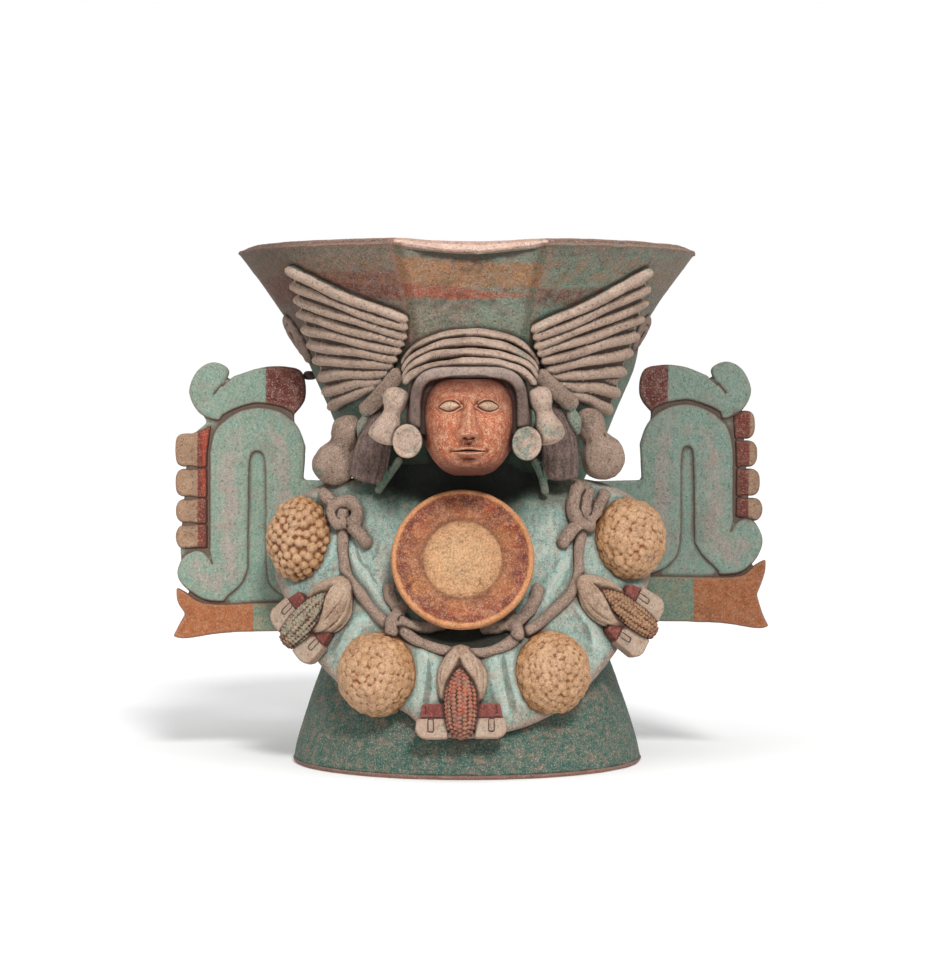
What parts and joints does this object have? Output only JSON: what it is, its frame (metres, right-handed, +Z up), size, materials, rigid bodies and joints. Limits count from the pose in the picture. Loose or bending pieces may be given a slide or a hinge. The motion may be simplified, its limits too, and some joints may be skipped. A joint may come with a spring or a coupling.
{
  "type": "effigy incense burner",
  "caption": "Hourglass fired-clay censer: an open fire bowl on a hollow foot, with a masked head, pleated fans, side flanges, a round plaque and a necklace of flowers and maize.",
  "frame": {"origin": "on the surface the foot stands on, under the middle of the whole object's reach", "axes": "+Z up, -Y out of the front where the head looks, +X to the right as seen from the front"},
  "size_m": [0.594, 0.4626, 0.5138],
  "materials": {
    "green_paint": "matt blue-green paint over fired clay, worn",
    "dark_green_paint": "matt dark green paint over fired clay, worn",
    "cream_paint": "matt cream slip with grey-brown staining",
    "grey_paint": "matt grey-purple paint",
    "brown_paint": "matt dark grey-brown paint",
    "face_paint": "matt orange-red paint, chipped to pale clay",
    "red_paint": "matt dark red paint",
    "orange_paint": "matt orange-ochre paint",
    "ochre_paint": "matt ochre paint",
    "kernel_paint": "matt brown-red paint on rows of kernels"
  },
  "bodies": {
    "root": {"foot": "dark_green_paint", "bowl": "green_paint", "bib": "green_paint", "left_flange_slab": "green_paint", "left_flange_strap": "green_paint", "left_flange_scroll": "green_paint", "left_flange_ribbon": "orange_paint", "left_flange_tabs": "cream_paint", "right_flange_slab": "green_paint", "right_flange_strap": "green_paint", "right_flange_scroll": "green_paint", "right_flange_ribbon": "orange_paint", "right_flange_tabs": "cream_paint", "left_flange_peg": "brown_paint", "head": "face_paint", "hood": "grey_paint", "headband_roll_1": "cream_paint", "headband_roll_2": "cream_paint", "headband_roll_3": "cream_paint", "headband_roll_4": "cream_paint", "left_fan": "cream_paint", "right_fan": "cream_paint", "left_side_knot": "cream_paint", "right_side_knot": "cream_paint", "left_ear_disc": "cream_paint", "left_ear_tassel": "cream_paint", "left_dark_flap": "brown_paint", "left_strap": "cream_paint", "left_shoulder_tassel": "cream_paint", "right_ear_disc": "cream_paint", "right_ear_tassel": "cream_paint", "right_dark_flap": "brown_paint", "right_strap": "cream_paint", "right_shoulder_tassel": "cream_paint", "plaque": "orange_paint", "plaque_stub": "dark_green_paint", "left_upper_flower": "ochre_paint", "left_lower_flower": "ochre_paint", "right_lower_flower": "ochre_paint", "right_upper_flower": "ochre_paint", "front_cord": "cream_paint", "left_cord": "cream_paint", "right_cord": "cream_paint", "left_upper_knot": "cream_paint", "left_lower_knot": "cream_paint", "right_lower_knot": "cream_paint", "right_upper_knot": "cream_paint", "left_maize_cob": "kernel_paint", "left_maize_husk": "cream_paint", "left_maize_tab_inner": "red_paint", "left_maize_tab_outer": "red_paint", "middle_maize_cob": "kernel_paint", "middle_maize_husk": "cream_paint", "middle_maize_tab_inner": "red_paint", "middle_maize_tab_outer": "red_paint", "right_maize_cob": "kernel_paint", "right_maize_husk": "cream_paint", "right_maize_tab_inner": "red_paint", "right_maize_tab_outer": "red_paint"}
  },
  "joints": []
}
